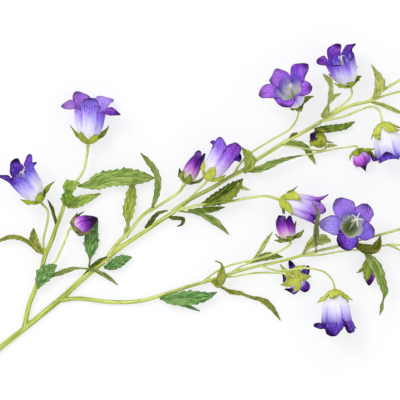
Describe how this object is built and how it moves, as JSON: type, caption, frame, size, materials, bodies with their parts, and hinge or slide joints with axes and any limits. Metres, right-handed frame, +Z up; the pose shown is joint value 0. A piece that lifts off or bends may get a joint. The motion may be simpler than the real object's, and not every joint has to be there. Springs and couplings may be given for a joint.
{
  "type": "flower stem",
  "caption": "Cut campanula stem lying flat, with bell-shaped open blooms, furled buds and toothed leaves on forking branches.",
  "frame": {"origin": "on the surface that the stem lies on, under the middle of its plan", "axes": "+X along the stem's length towards the flowering end, +Y across it to the left, +Z up from the surface"},
  "size_m": [0.447, 0.3183, 0.048],
  "materials": {
    "stem": "matt, yellow-green",
    "leaf": "matt, green with paler veins",
    "calyx": "matt, olive green",
    "petal": "satin, violet lobes fading to a near-white tube",
    "bud": "satin, magenta-purple with a dark tip",
    "pistil": "matt, cream white"
  },
  "bodies": {
    "root": {"stem": "stem", "leaf_01": "leaf", "leaf_02": "leaf", "leaf_03": "leaf", "leaf_04": "leaf", "leaf_05": "leaf", "leaf_06": "leaf", "leaf_07": "leaf", "leaf_08": "leaf", "leaf_09": "leaf", "leaf_10": "leaf", "leaf_11": "leaf", "leaf_12": "leaf", "leaf_13": "leaf", "calyx_f1": "calyx", "calyx_f2": "calyx", "calyx_f5": "calyx", "calyx_f6": "calyx", "calyx_f7": "calyx", "calyx_f8": "calyx", "calyx_f11": "calyx", "calyx_f12": "calyx", "calyx_f14": "calyx", "calyx_f15": "calyx", "calyx_b3": "calyx", "calyx_b4": "calyx", "calyx_b9": "calyx", "calyx_b10": "calyx", "calyx_b13": "calyx", "calyx_b16": "calyx", "calyx_e1": "calyx", "calyx_e2": "calyx", "corolla_f1": "petal", "corolla_f2": "petal", "corolla_f5": "petal", "corolla_f6": "petal", "corolla_f7": "petal", "corolla_f8": "petal", "corolla_f11": "petal", "corolla_f12": "petal", "corolla_f14": "petal", "corolla_f15": "petal", "pistil_f1": "pistil", "pistil_f2": "pistil", "pistil_f5": "pistil", "pistil_f6": "pistil", "pistil_f7": "pistil", "pistil_f8": "pistil", "pistil_f11": "pistil", "pistil_f12": "pistil", "pistil_f14": "pistil", "pistil_f15": "pistil", "bud_b3": "bud", "bud_b4": "bud", "bud_b9": "bud", "bud_b10": "bud", "bud_b13": "bud", "bud_b16": "bud", "bud_e1": "bud", "bud_e2": "bud"}
  },
  "joints": []
}
